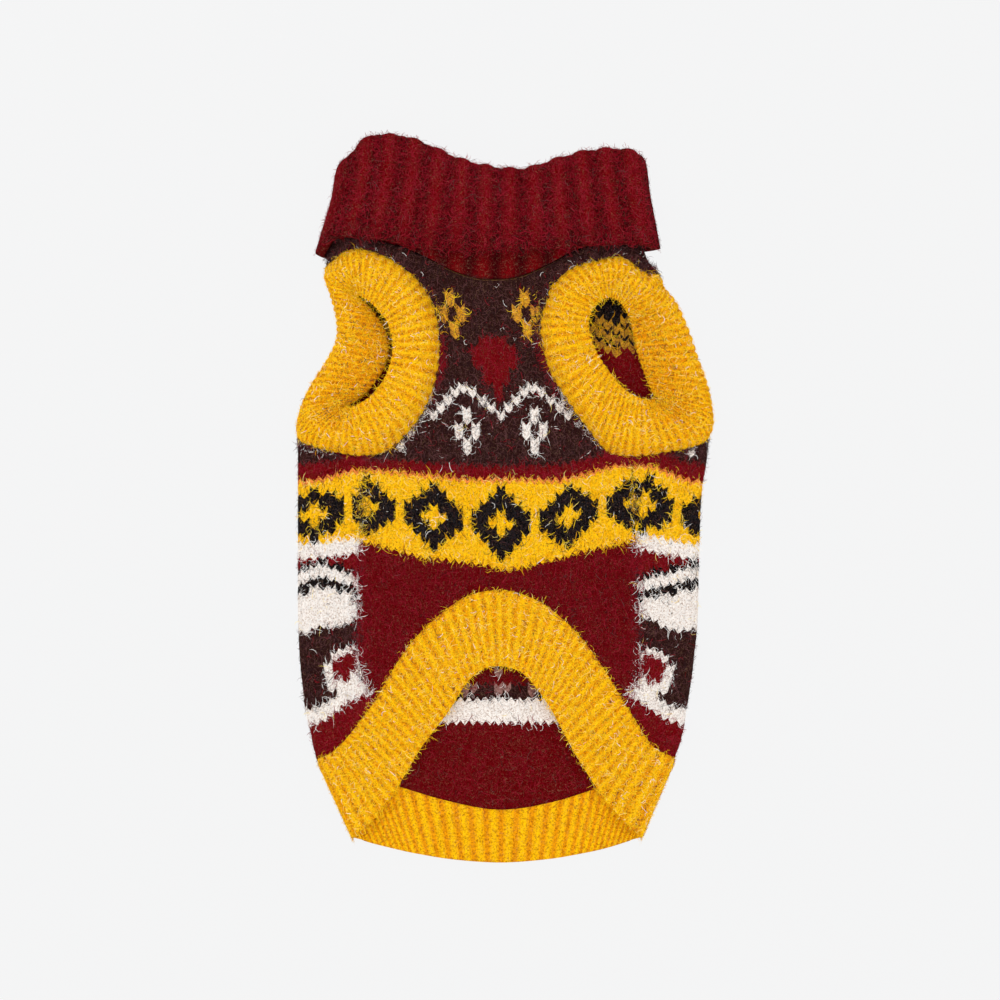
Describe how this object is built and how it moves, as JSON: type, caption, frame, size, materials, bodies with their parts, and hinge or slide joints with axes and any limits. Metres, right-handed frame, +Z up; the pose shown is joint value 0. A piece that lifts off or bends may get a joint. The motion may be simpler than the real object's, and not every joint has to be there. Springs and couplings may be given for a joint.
{
  "type": "dog sweater",
  "caption": "Knitted dog sweater laid flat on its back, with a folded ribbed collar, ribbed leg cuffs and a ribbed hem arched over a belly cut-out.",
  "frame": {"origin": "on the surface that the sweater lies on, under the middle of its box", "axes": "+X to the right and +Y towards the neck as one looks down on the belly side, +Z up from the surface"},
  "size_m": [0.2072, 0.363, 0.0197],
  "materials": {
    "knit_back": "matt, brushed chunky knit in brown, maroon, black and white",
    "knit_belly": "matt, brushed chunky knit in maroon, yellow and brown",
    "rib_maroon": "matt, brushed rib knit",
    "rib_yellow": "matt, brushed rib knit"
  },
  "bodies": {
    "root": {"back_panel": "knit_back", "belly_panel": "knit_belly", "collar": "rib_maroon", "cuff_left": "rib_yellow", "cuff_right": "rib_yellow", "belly_hem": "rib_yellow", "back_hem": "rib_yellow"}
  },
  "joints": []
}
